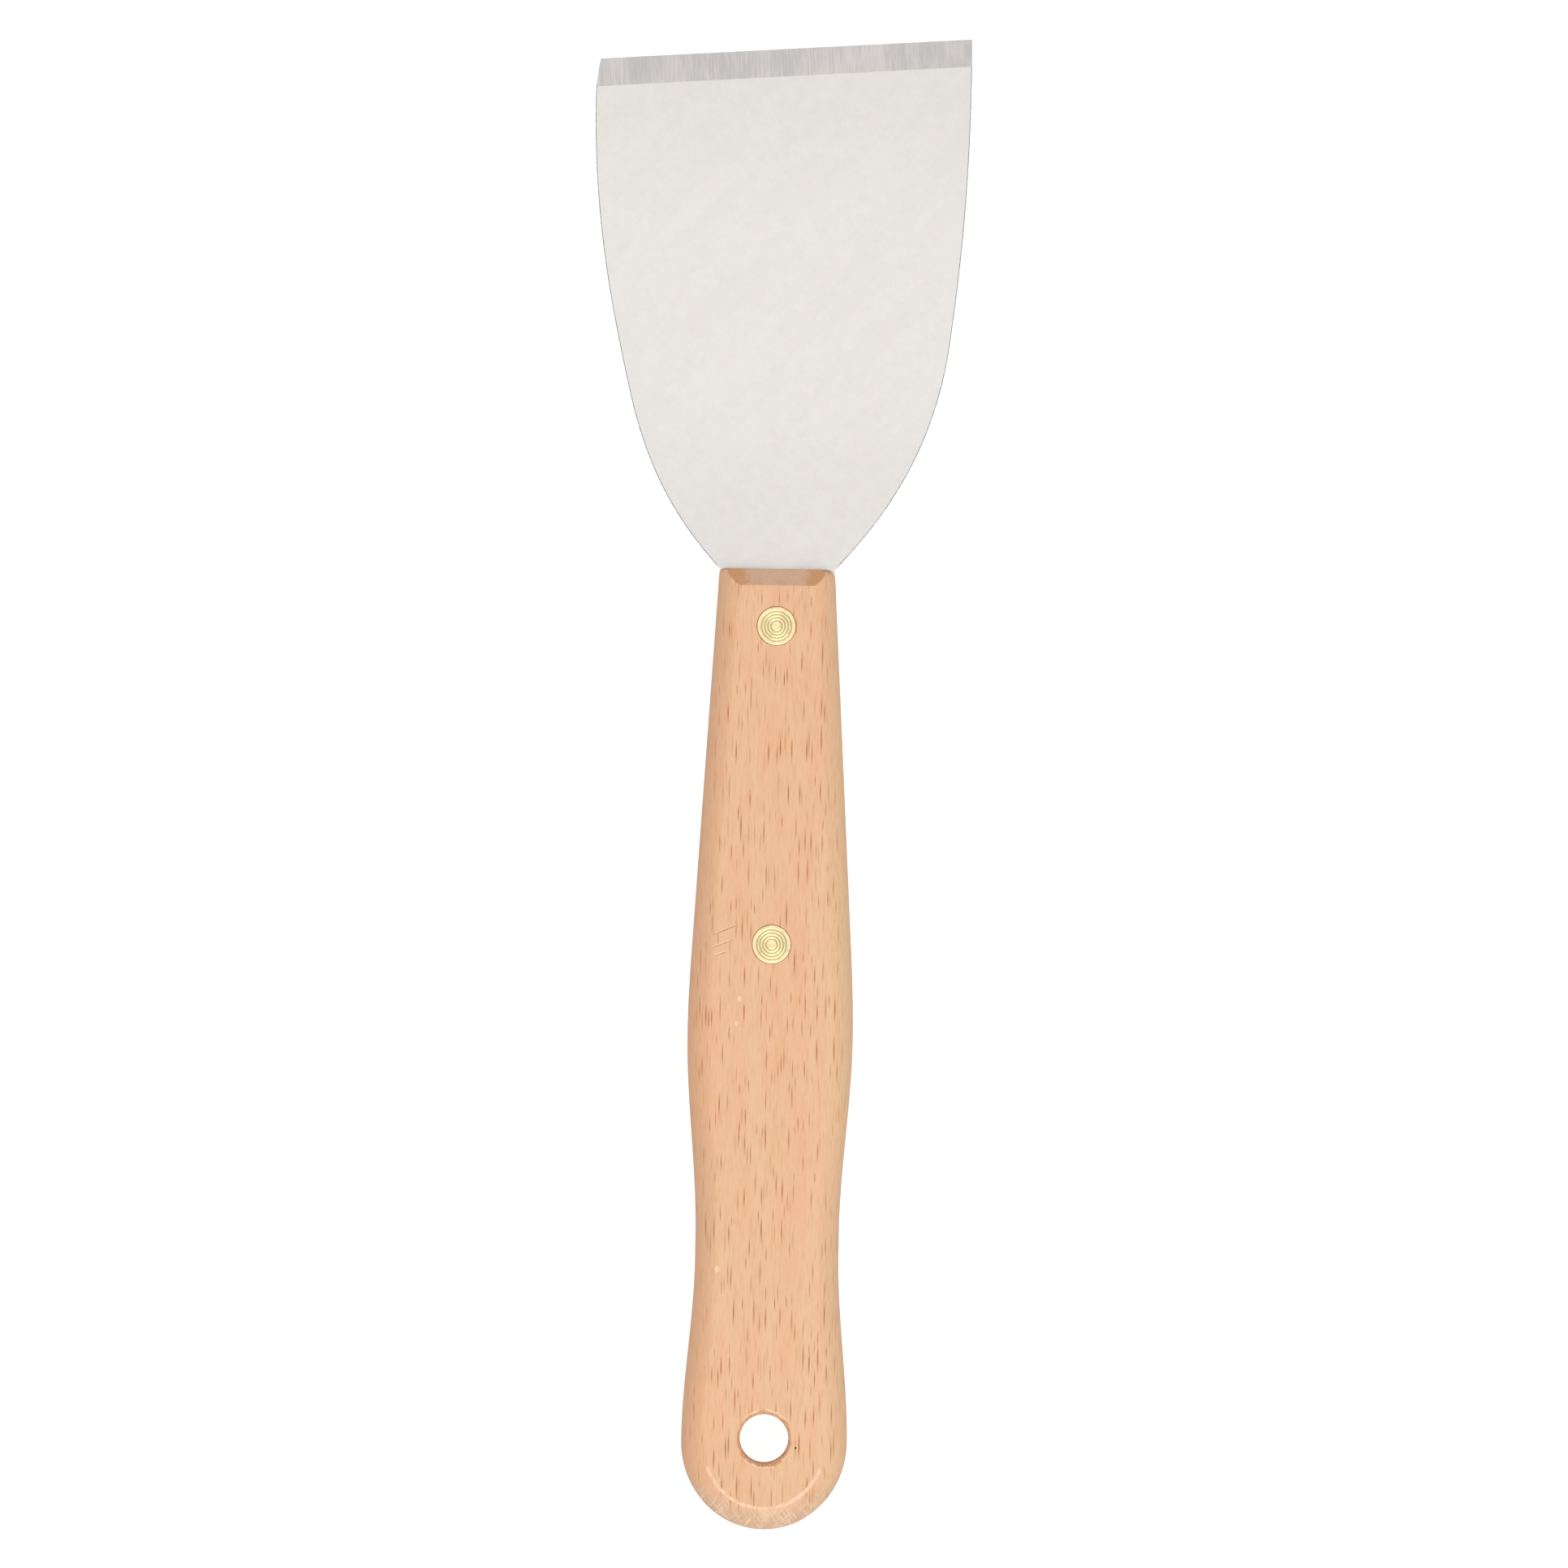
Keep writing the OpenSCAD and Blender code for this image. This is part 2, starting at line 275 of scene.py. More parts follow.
def new_piece(name, bm, materials):
    """Turns bm into a mesh object at the origin with these materials."""
    mesh = bpy.data.meshes.new(name)
    bm.to_mesh(mesh)
    bm.free()
    for material in materials:
        mesh.materials.append(material)
    obj = bpy.data.objects.new(name, mesh)
    bpy.context.scene.collection.objects.link(obj)
    return obj


def settle(obj):
    """Applies obj's modifiers to its mesh."""
    graph = bpy.context.evaluated_depsgraph_get()
    mesh = bpy.data.meshes.new_from_object(obj.evaluated_get(graph))
    raw = obj.data
    obj.modifiers.clear()
    obj.data = mesh
    bpy.data.meshes.remove(raw)


def cut(obj, cutters):
    """Takes the cutters out of obj for good. A cut wall gets its cutter's material."""
    for cutter in cutters:
        tool = obj.modifiers.new("cut", "BOOLEAN")
        tool.operation = "DIFFERENCE"
        tool.solver = "EXACT"
        tool.material_mode = "TRANSFER"
        tool.object = cutter
        settle(obj)
        bpy.data.objects.remove(cutter)


def shade(obj, sharp_degrees):
    """Smooth shading, with hard edges above an angle and round each cut, and flat faces kept flat."""
    bm = bmesh.new()
    bm.from_mesh(obj.data)
    bmesh.ops.dissolve_degenerate(bm, dist=SLIVER, edges=bm.edges)
    for face in bm.faces:
        face.smooth = True
    for edge in bm.edges:
        same = len({face.material_index for face in edge.link_faces}) == 1
        edge.smooth = same and edge.calc_face_angle(0.0) < math.radians(sharp_degrees)
    bm.to_mesh(obj.data)
    bm.free()
    weigh = obj.modifiers.new("flat faces stay flat", "WEIGHTED_NORMAL")
    weigh.keep_sharp = True
    settle(obj)


def hand_in(obj, node):
    """Rides obj on the knife's one body in place of a CAD node."""
    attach(obj, "root")
    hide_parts(node)


def loop_of(bm, points):
    """A closed loop of edges through points."""
    verts = [bm.verts.new(p) for p in points]
    return [bm.edges.new(pair) for pair in zip(verts, verts[1:] + verts[:1])]


def plate(points, low, high):
    """A flat plate of that outline, from height low to height high."""
    bm = bmesh.new()
    edges = loop_of(bm, [(p[0], p[1], low) for p in points])
    face = bmesh.ops.contextual_create(bm, geom=edges)["faces"]
    raised = bmesh.ops.extrude_face_region(bm, geom=face)["geom"]
    verts = [g for g in raised if isinstance(g, bmesh.types.BMVert)]
    bmesh.ops.translate(bm, vec=(0, 0, high - low), verts=verts)
    bmesh.ops.recalc_face_normals(bm, faces=bm.faces)
    return bm


def slice_off(bm, point, normal, material=0):
    """Cuts bm flat through point and drops what lies on normal's side."""
    geom = bm.verts[:] + bm.edges[:] + bm.faces[:]
    cut_geom = bmesh.ops.bisect_plane(
        bm, geom=geom, dist=TOUCH / 10, plane_co=point, plane_no=normal, clear_outer=True
    )["geom_cut"]
    rim = [g for g in cut_geom if isinstance(g, bmesh.types.BMEdge)]
    for face in bmesh.ops.holes_fill(bm, edges=rim, sides=0)["faces"]:
        face.material_index = material


def round_edges(bm, edges, radius, segments):
    """Rounds edges off by radius, and gives the faces that this makes."""
    return bmesh.ops.bevel(
        bm,
        geom=edges,
        offset=radius,
        offset_type="OFFSET",
        affect="EDGES",
        segments=segments,
        profile=0.5,
        material=-1,
        clamp_overlap=False,
    )["faces"]


def spun(profile, centre=(0, 0, 0), steps=96):
    """A solid of revolution about a line through centre, from (radius, height) pairs."""
    bm = bmesh.new()
    verts = [bm.verts.new((r, 0, z)) for r, z in profile]
    edges = [bm.edges.new(pair) for pair in zip(verts, verts[1:])]
    bmesh.ops.spin(
        bm,
        geom=verts + edges,
        cent=(0, 0, 0),
        axis=(0, 0, 1),
        dvec=(0, 0, 0),
        angle=2 * math.pi,
        steps=steps,
        use_merge=True,
    )
    bmesh.ops.remove_doubles(bm, verts=bm.verts, dist=TOUCH / 10)
    bmesh.ops.recalc_face_normals(bm, faces=bm.faces)
    bmesh.ops.translate(bm, vec=centre, verts=bm.verts)
    return bm


# ---------------------------------------------------------------- materials


def add(tree, kind, inputs=None, **settings):
    """Adds a node with its settings, and fills or links its inputs by name or place.

    An input takes a value, a socket, or a node, which stands for its first live output.
    """
    node = tree.nodes.new("ShaderNode" + kind)
    for name, value in settings.items():
        setattr(node, name, value)
    for key, value in (inputs or {}).items():
        if isinstance(value, bpy.types.Node):
            value = next(socket for socket in value.outputs if socket.enabled)
        if isinstance(value, bpy.types.NodeSocket):
            tree.links.new(value, node.inputs[key])
        else:
            node.inputs[key].default_value = value
    return node


def new_material(name):
    """An empty node material and its tree."""
    material = bpy.data.materials.new(name)
    material.use_nodes = True
    tree = material.node_tree
    tree.nodes.clear()
    return material, tree


def finish(material, height, depth, look):
    """Ends a material in a shader of that look, over relief of that height and depth."""
    tree = material.node_tree
    bump = add(tree, "Bump", {"Height": height, "Distance": depth})
    shader = add(tree, "BsdfPrincipled", {"Normal": bump, **look})
    add(tree, "OutputMaterial", {"Surface": shader})
    return material


def cells(tree, size_mm, turn=0.0):
    """Object coordinates counted in cells of size_mm (x, y, z), turned about Z by degrees."""
    place = add(tree, "TexCoord").outputs["Object"]
    turned = add(tree, "Mapping", {"Vector": place, "Rotation": (0, 0, math.radians(turn))})
    return add(tree, "Mapping", {"Vector": turned, "Scale": [1 / (a * MM) for a in size_mm]})


# Settings that many nodes share: a soft step, a colour mix, and noise counted in cells
SOFT = {"interpolation_type": "SMOOTHSTEP"}
TONE = {"data_type": "RGBA"}
CELLS = {"Scale": 1.0, "Detail": 4.0}


def sanded_beech(colours):
    """Flat-sawn beech, planed and sanded and left bare.

    Gives a matt, mottled tan with short dark ray flecks on the faces, painted shade that makes its
    left side pinker and darker, painted light that makes its right side paler and yellower, and a pale
    cross-hatch where the surface cuts across the grain.
    """
    material, tree = new_material("sanded_beech")
    normal = add(tree, "SeparateXYZ", {0: add(tree, "TexCoord").outputs["Normal"]}).outputs
    # Cloudy patches of colour, 3 mm wide and 8 mm long
    cloud = add(tree, "TexNoise", {"Vector": cells(tree, (3, 8, 4)), **CELLS})
    # Bands of the board, 5 mm wide and 60 mm long
    band = add(tree, "TexNoise", {"Vector": cells(tree, (5, 60, 7)), **CELLS})
    # Grain of early and late wood, 0.3 mm wide and 3 mm long
    grain = add(tree, "TexNoise", {"Vector": cells(tree, (0.3, 3, 0.7)), **CELLS})

    # Rays are sheets through the thickness, 0.25 mm wide and 2 to 6 mm long, one to a cell or none
    where = {"Vector": cells(tree, (0.6, 9, 9)), "Scale": 1.0}
    rays = add(tree, "TexVoronoi", where, voronoi_dimensions="2D")
    luck = add(tree, "SeparateColor", {0: rays.outputs["Color"]}).outputs
    reach = add(tree, "MapRange", {"Value": luck["Green"], 3: 0.16, 4: 0.46})
    far = rays.outputs["Distance"]
    spindle = add(tree, "MapRange", {"Value": far, 1: 0.04, 2: reach, 3: 1.0, 4: 0.0}, **SOFT)
    strength = add(tree, "MapRange", {"Value": luck["Red"], 1: 0.4, 2: 1.0, 3: 0.0, 4: 1.0})
    level = add(tree, "Math", {0: normal["Z"]}, operation="ABSOLUTE")
    flat = add(tree, "MapRange", {"Value": level, 1: 0.5, 2: 0.97}, **SOFT)
    on_face = add(tree, "MapRange", {"Value": flat, 3: 0.35, 4: 1.0})
    fleck = add(tree, "Math", {0: spindle, 1: strength}, operation="MULTIPLY")
    fleck = add(tree, "Math", {0: fleck, 1: on_face}, operation="MULTIPLY")

    # Growth rings and rays cross where the wood is cut across its grain
    one_way = add(tree, "TexNoise", {"Vector": cells(tree, (0.4, 6, 4), 38), **CELLS})
    other_way = add(tree, "TexNoise", {"Vector": cells(tree, (0.4, 6, 4), -38), **CELLS})
    crossing = add(tree, "Math", {0: one_way, 1: other_way}, operation="MAXIMUM")
    hatch = add(tree, "MapRange", {"Value": crossing, 1: 0.46, 2: 0.72}, **SOFT)
    across = add(tree, "Math", {0: normal["Y"]}, operation="ABSOLUTE")
    end_cut = add(tree, "MapRange", {"Value": across, 1: 0.25, 2: 0.65}, **SOFT)

    patches = add(tree, "MapRange", {"Value": cloud, 1: 0.35, 2: 0.65}, **SOFT)
    bands = add(tree, "MapRange", {"Value": band, 1: 0.4, 2: 0.65, 3: 0.0, 4: 0.7}, **SOFT)
    streaks = add(tree, "MapRange", {"Value": grain, 1: 0.4, 2: 0.7, 3: 0.0, 4: 0.38}, **SOFT)
    # Painted shade makes the wood pinker and darker towards its left edge, and painted light makes it
    # paler and yellower towards its right, the softbox's side
    place = add(tree, "SeparateXYZ", {0: add(tree, "TexCoord").outputs["Object"]}).outputs
    left = add(tree, "MapRange", {"Value": place["X"], 1: -8 * MM, 2: -15 * MM}, **SOFT)
    right = add(tree, "MapRange", {"Value": place["X"], 1: 8 * MM, 2: 14 * MM}, **SOFT)
    board = add(tree, "Mix", {0: patches, 6: colours.beech, 7: colours.beech_pink}, **TONE)
    board = add(tree, "Mix", {0: bands, 6: board, 7: colours.beech_pale}, **TONE)
    board = add(tree, "Mix", {0: left, 6: board, 7: colours.beech_pink}, **TONE)
    board = add(tree, "Mix", {0: right, 6: board, 7: colours.beech_pale}, **TONE)
    board = add(tree, "Mix", {0: streaks, 6: board, 7: colours.beech_late}, **TONE)
    end_wood = add(tree, "Mix", {0: hatch, 6: colours.beech_end, 7: colours.beech_ring}, **TONE)
    wood = add(tree, "Mix", {0: end_cut, 6: board, 7: end_wood}, **TONE)
    marked = add(tree, "Mix", {0: fleck, 6: wood, 7: colours.beech_ray}, **TONE)

    # Rays lie a few hundredths of a millimetre below the sanded face
    relief = add(tree, "Math", {0: fleck, 1: -0.8, 2: grain}, operation="MULTIPLY_ADD")
    sheen = add(tree, "MapRange", {"Value": grain, 1: 0.3, 2: 0.7, 3: 0.62, 4: 0.5})
    look = {"Base Color": marked, "Roughness": sheen, "IOR": 1.45}
    return finish(material, relief, 0.06 * MM, look)


def sawn_beech(colours):
    """Beech sawn across the grain at the front end: dull brown, and greyer in its middle."""
    material, tree = new_material("sawn_beech")
    # Cloudy patches, 2 mm across, and pores 0.3 mm across
    cloud = add(tree, "TexNoise", {"Vector": cells(tree, (2, 2, 2)), **CELLS})
    pores = add(tree, "TexNoise", {"Vector": cells(tree, (0.3, 0.3, 0.3)), **CELLS})
    # The wood is browner towards both sides and greyer in its middle
    place = add(tree, "SeparateXYZ", {0: add(tree, "TexCoord").outputs["Object"]}).outputs
    out = add(tree, "Math", {0: place["X"]}, operation="ABSOLUTE")
    middle = add(tree, "MapRange", {"Value": out, 1: 9 * MM, 2: 4 * MM, 3: -0.3, 4: 0.3})
    grey = add(tree, "Math", {0: cloud, 1: middle}, operation="ADD")
    grey = add(tree, "MapRange", {"Value": grey, 1: 0.4, 2: 0.75}, **SOFT)
    open_pores = add(tree, "MapRange", {"Value": pores, 1: 0.5, 2: 0.7, 3: 0, 4: 0.25}, **SOFT)
    wood = add(tree, "Mix", {0: grey, 6: colours.sawn, 7: colours.sawn_grey}, **TONE)
    wood = add(tree, "Mix", {0: open_pores, 6: wood, 7: colours.beech_ray}, **TONE)
    return finish(material, pores, 0.05 * MM, {"Base Color": wood, "Roughness": 0.75})


def torn_and_shaded_beech(colours):
    """Beech bored or slit but never sanded: raw, fibrous and fully matt, with painted shade in the
    hollows between its fibres. Also laid as painted shade on the scratches' walls that face away from
    the softbox.
    """
    material, tree = new_material("torn_and_shaded_beech")
    # Broken fibres, 0.25 mm thick and 1 mm long
    fibres = add(tree, "TexNoise", {"Vector": cells(tree, (0.25, 1, 0.4)), **CELLS})
    share = add(tree, "MapRange", {"Value": fibres, 1: 0.35, 2: 0.7}, **SOFT)
    raw = add(tree, "Mix", {0: share, 6: colours.torn, 7: colours.torn_shade}, **TONE)
    return finish(material, fibres, 0.08 * MM, {"Base Color": raw, "Roughness": 0.85})


def crushed_and_lit_beech(colours):
    """Beech fibres crushed or scraped by a blow: paler and woollier than the sanded face. Also laid as
    a painted highlight on the butt's arris and on the scratches' walls that face the softbox.
    """
    material, tree = new_material("crushed_and_lit_beech")
    # Tufts of loose fibre, 1 mm long, over wood that the blow has spared
    fibres = add(tree, "TexNoise", {"Vector": cells(tree, (0.6, 1.2, 0.6)), **CELLS})
    share = add(tree, "MapRange", {"Value": fibres, 1: 0.35, 2: 0.65, 3: 0.15, 4: 0.95}, **SOFT)
    wool = add(tree, "Mix", {0: share, 6: colours.beech, 7: colours.crushed}, **TONE)
    return finish(material, fibres, 0.06 * MM, {"Base Color": wool, "Roughness": 0.7})


def satin_steel(colours, middle):
    """Carbon steel sheet with a satin grind: a bright, soft, almost white reflection.

    The grind runs along the blade in lines too fine to show, so it is drawn 0.2 mm wide.
    """
    material, tree = new_material("satin_ground_steel")
    grind = add(tree, "TexNoise", {"Vector": cells(tree, (0.2, 1.2, 1)), **CELLS})
    # Faint smears from wiping, 5 mm wide and 30 mm long, rising to the right
    smear = add(tree, "TexNoise", {"Vector": cells(tree, (5, 30, 5), 48), **CELLS})
    # Spots of old oil, 2 mm across
    spots = add(tree, "TexNoise", {"Vector": cells(tree, (2, 2, 2)), **CELLS})
    worn = add(tree, "Math", {0: smear, 1: spots}, operation="ADD")
    worn = add(tree, "Math", {0: worn, 1: grind}, operation="ADD")
    worn = add(tree, "MapRange", {"Value": worn, 1: 1.2, 2: 1.8, 3: 0.0, 4: 0.5}, **SOFT)
    # The blade is brightest in its middle: it dulls from 15 mm to 48 mm away along the blade
    place = add(tree, "SeparateXYZ", {0: add(tree, "TexCoord").outputs["Object"]}).outputs
    away = add(tree, "Math", {0: place["Y"], 1: middle}, operation="SUBTRACT")
    away = add(tree, "Math", {0: away}, operation="ABSOLUTE")
    ends = add(tree, "MapRange", {"Value": away, 1: 15 * MM, 2: 48 * MM, 4: 0.5}, **SOFT)
    share = add(tree, "Math", {0: worn, 1: ends}, operation="ADD")
    metal = add(tree, "Mix", {0: share, 6: colours.steel, 7: colours.steel_dull}, **TONE)
    gloss = add(tree, "MapRange", {"Value": smear, 1: 0.35, 2: 0.65, 3: 0.28, 4: 0.34})
    look = {"Base Color": metal, "Roughness": gloss, "Metallic": 1.0}
    return finish(material, grind, 0.004 * MM, look)


def strip_steel(colours, skew):
    """Steel of the working edge, ground square to it on a coarse wheel: grey and streaky.

    The wheel's lines are too fine to show, so they are drawn 0.25 mm wide.
    """
    material, tree = new_material("coarse_ground_steel")
    turn = -math.degrees(skew)
    lines = add(tree, "TexNoise", {"Vector": cells(tree, (0.25, 5, 5), turn), **CELLS})
    # Wide, weak bands where the wheel dwelt, 5 mm across
    bands = add(tree, "TexNoise", {"Vector": cells(tree, (5, 12, 12), turn), **CELLS})
    worn = add(tree, "Math", {0: lines, 1: bands}, operation="ADD")
    share = add(tree, "MapRange", {"Value": worn, 1: 0.75, 2: 1.25}, **SOFT)
    metal = add(tree, "Mix", {0: share, 6: colours.strip, 7: colours.strip_dull}, **TONE)
    look = {"Base Color": metal, "Roughness": 0.42, "Metallic": 1.0}
    return finish(material, lines, 0.006 * MM, look)


def sheared_and_shaded_steel(colours):
    """Steel of the sheet's stamped sides: torn by the die and rough, and painted dark as painted shade
    on sides that turn away from the light.
    """
    material, tree = new_material("sheared_and_shaded_steel")
    tears = add(tree, "TexNoise", {"Vector": cells(tree, (0.3, 0.3, 0.8)), **CELLS})
    share = add(tree, "MapRange", {"Value": tears, 1: 0.4, 2: 0.62}, **SOFT)
    metal = add(tree, "Mix", {0: share, 6: colours.sheared_and_shaded, 7: colours.strip_dull}, **TONE)
    look = {"Base Color": metal, "Roughness": 0.5, "Metallic": 1.0}
    return finish(material, tears, 0.03 * MM, look)


def turned_brass(colours):
    """Pale brass, turned and tumbled: soft bright ridges, with tarnish left in the grooves."""
    material, tree = new_material("turned_brass")
    # Stains, 0.8 mm across
    stain = add(tree, "TexNoise", {"Vector": cells(tree, (0.8, 0.8, 0.8)), **CELLS})
    share = add(tree, "MapRange", {"Value": stain, 1: 0.4, 2: 0.7, 3: 0, 4: 0.5}, **SOFT)
    groove = add(tree, "Attribute", attribute_name="groove").outputs["Fac"]
    dark = add(tree, "Math", {0: groove, 1: share}, operation="MAXIMUM")
    metal = add(tree, "Mix", {0: dark, 6: colours.brass, 7: colours.brass_dull}, **TONE)
    gloss = add(tree, "MapRange", {"Value": stain, 1: 0.3, 2: 0.7, 3: 0.3, 4: 0.42})
    look = {"Base Color": metal, "Roughness": gloss, "Metallic": 1.0}
    return finish(material, stain, 0.03 * MM, look)


def material_of(name, make, *arguments):
    """The material of that name, made the first time that it is asked for."""
    return bpy.data.materials.get(name) or make(*arguments)


# ---------------------------------------------------------------- the handle


def handle_half_width(sizes, at, s):
    """Half the handle's width at distance s behind its front end."""
    taper = (sizes.belly_width - sizes.front_width) / (2 * sizes.belly_at - sizes.belly_ease)
    if s < sizes.belly_at - sizes.belly_ease:
        return sizes.front_width / 2 + taper * s
    if s < sizes.belly_at:
        return sizes.belly_width / 2 - taper * (sizes.belly_at - s) ** 2 / (2 * sizes.belly_ease)
    stops = [
        (sizes.belly_at, sizes.belly_width / 2),
        (sizes.waist_at - sizes.waist_length / 2, sizes.waist_width / 2),
        (sizes.waist_at + sizes.waist_length / 2, sizes.waist_width / 2),
        (at["front"] - at["butt"] - sizes.butt_length, at["butt_half"]),
    ]
    for (s0, w0), (s1, w1) in zip(stops, stops[1:]):
        if s < s1:
            t = (s - s0) / (s1 - s0)
            return w0 + (w1 - w0) * t * t * (3 - 2 * t)
    return at["butt_half"]


def handle_outline(sizes, at):
    """Plan of the handle as (point, outward normal) pairs, front right round to front left."""
    straight = at["front"] - at["butt"] - sizes.butt_length
    side_steps = 120
    butt_steps = 64
    nudge = 0.01 * MM
    # The first station lies well behind the front, to leave its corners room for rounding
    first = 4 * MM
    stations = [-OVER]
    for i in range(side_steps + 1):
        stations.append(first + (straight - 2 * nudge - first) * i / side_steps)
    side = []
    for s in stations:
        width = handle_half_width(sizes, at, s)
        slope = (handle_half_width(sizes, at, s + nudge) - width) / nudge
        side.append((Vector((width, at["front"] - s)), Vector((1, slope)).normalized()))
    butt = []
    for i in range(1, butt_steps):
        a = math.pi * i / butt_steps
        across = math.cos(a)
        along = -math.sin(a)
        point = Vector((at["butt_half"] * across, sizes.butt_length * along - straight))
        out = Vector((across / at["butt_half"], along / sizes.butt_length)).normalized()
        butt.append((point + Vector((0, at["front"])), out))
    flip = Vector((-1, 1))
    return side + butt + [(p * flip, n * flip) for p, n in reversed(side)]


def handle_blank(sizes, at):
    """The handle with no holes: its outline drawn up the bullnose, then cut at the front."""
    outline = handle_outline(sizes, at)
    half = at["middle"]
    nose = (half * half + sizes.side_round**2) / (2 * sizes.side_round)
    reach = math.asin(half / nose)
    steps = 26
    bm = bmesh.new()
    station = bm.verts.layers.int.new("station")
    edges = loop_of(bm, [(p.x, p.y, 0) for p, _ in outline])
    for i, vert in enumerate(bm.verts):
        vert[station] = i
    verts = bm.verts[:]
    first = edges
    for step in range(steps + 1):
        a = reach * (2 * step / steps - 1)
        if step:
            made = bmesh.ops.extrude_edge_only(bm, edges=edges)["geom"]
            verts = [g for g in made if isinstance(g, bmesh.types.BMVert)]
            edges = [g for g in made if isinstance(g, bmesh.types.BMEdge)]
        for vert in verts:
            point, out = outline[vert[station]]
            rim = point - out * nose * (1 - math.cos(a))
            vert.co = (rim.x, rim.y, half + nose * math.sin(a))
    bmesh.ops.contextual_create(bm, geom=first)
    bmesh.ops.contextual_create(bm, geom=edges)
    bmesh.ops.recalc_face_normals(bm, faces=bm.faces)
    hard = [e for e in bm.edges if any(len(f.verts) > 4 for f in e.link_faces)]
    # Round the butt the arris is painted pale with crushed wood, a painted highlight where it faces
    # the softbox, with ragged ends
    butt_top = at["butt"] + 0.7 * sizes.butt_length
    for face in round_edges(bm, hard, sizes.arris, 3):
        middle = face.calc_center_median()
        ragged = 3 * MM * noise.noise(middle / (2 * MM))
        face.material_index = int(middle.y + ragged < butt_top)

    slice_off(bm, (0, at["front"], 0), (0, 1, 0), material=2)
    for side, radius in ((-1, sizes.left_corner), (1, sizes.right_corner)):
        corner = [
            e
            for e in bm.edges
            if all(abs(v.co.y - at["front"]) < TOUCH and v.co.x * side > 0 for v in e.verts)
            and abs(e.verts[0].co.z - e.verts[1].co.z) > TOUCH
        ]
        round_edges(bm, corner, radius, 4)
    for up in (1, -1):
        foot = (0, at["front"], half + up * (half - sizes.bevel_depth))
        slice_off(bm, foot, (0, sizes.bevel_depth, up * sizes.bevel_length), material=2)
    hard = [e for e in bm.edges if e.calc_face_angle() > math.radians(11.5)]
    round_edges(bm, hard, sizes.front_arris, 2)
    return bm


def kerf_cutter(sizes, at, material):
    """Slab of the saw's thickness, its end as round as the saw."""
    end = at["tang_end"] - sizes.kerf_end_gap
    half_span = at["butt_half"] + 2 * OVER
    arc_steps = 24
    arc = []
    for i in range(arc_steps + 1):
        x = half_span * (2 * i / arc_steps - 1)
        arc.append((x, end + sizes.saw_radius - math.sqrt(sizes.saw_radius**2 - x * x)))
    front = at["front"] + OVER
    points = arc + [(half_span, front), (-half_span, front)]
    low = at["blade_back"] - sizes.kerf_gap
    high = at["blade_face"] + sizes.kerf_gap
    return new_piece("kerf_cutter", plate(points, low, high), [material])


def rivet_cutter(node, rivets, at, material):
    """Bore for one rivet's sleeve with a seat for each head."""
    low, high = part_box(node)
    seat = (high.x - low.x) / 2 + rivets.seat_gap
    bore = rivets.sleeve_radius + rivets.sleeve_gap
    seat_low = rivets.head_thickness
    seat_high = high.z - rivets.head_thickness
    profile = [
        (0, -OVER),
        (seat, -OVER),
        (seat, seat_low),
        (bore, seat_low),
        (bore, seat_high),
        (seat, seat_high),
        (seat, at["thickness"] + OVER),
        (0, at["thickness"] + OVER),
    ]
    return new_piece("rivet_cutter", spun(profile, foot_of(node)), [material])


def hang_hole_cutter(sizes, at, torn, crushed):
    """Bore of the hang hole: a clean wall, and a rim that the drill has torn at each face."""
    bore = sizes.hole_radius
    rim = sizes.hole_rim
    top = at["thickness"]
    lower = [(bore + rim * reach, rim * depth) for depth, reach in RIM_ROLL]
    upper = [(r, top - z) for r, z in reversed(lower)]
    flare = bore + rim + OVER
    profile = [(0, -OVER), (flare, -OVER)] + lower + upper + [(flare, top + OVER), (0, top + OVER)]
    bm = spun(profile, steps=240)
    # Loose pale fibres stand at the rim's outer edge, where the drill met them end on
    for face in bm.faces:
        middle = face.calc_center_median()
        depth = min(middle.z, top - middle.z)
        loose = abs(middle.y) / middle.xy.length + noise.noise(middle * 900) > 0.75
        face.material_index = int(loose and 0 < depth < 0.05 * rim)
    # Tears per hole radius in x and y, and per metre down the wall
    coarse_tears = Vector((9, 9, 400))
    fine_tears = Vector((31, 31, 900))
    # Share of its width that the rim lacks at the two sides of the hole
    narrowing = 0.45
    for vert in bm.verts:
        out = vert.co.xy
        if out.length <= bore + TOUCH:
            continue
        way = out.normalized()
        # Fibres tear widest where the drill meets them end on, at the hole's ends along the grain
        end_on = abs(way.y)
        if out.length < flare - TOUCH:
            out -= way * (out.length - bore) * narrowing * (1 - end_on)
        # They reach 0.1 mm across the grain, and 0.4 mm at its ends
        tear = (0.1 + 0.3 * end_on**2) * MM
        spot = Vector((way.x, way.y, vert.co.z))
        ragged = noise.noise(spot * coarse_tears) + 0.4 * noise.noise(spot * fine_tears)
        vert.co.xy = out + way * tear * ragged
    bmesh.ops.translate(bm, vec=(0, at["butt"] + sizes.hole_from_butt, 0), verts=bm.verts)
    return new_piece("hang_hole_cutter", bm, [torn, crushed])


def face_height(sizes, at, x, y):
    """Height of the handle's front face at (x, y), flat or round towards its sides."""
    half = at["middle"]
    nose = (half * half + sizes.side_round**2) / (2 * sizes.side_round)
    out = abs(x) - handle_half_width(sizes, at, at["front"] - y) + nose
    return half + math.sqrt(max(0.0, nose * nose - max(out, nose - sizes.side_round) ** 2))


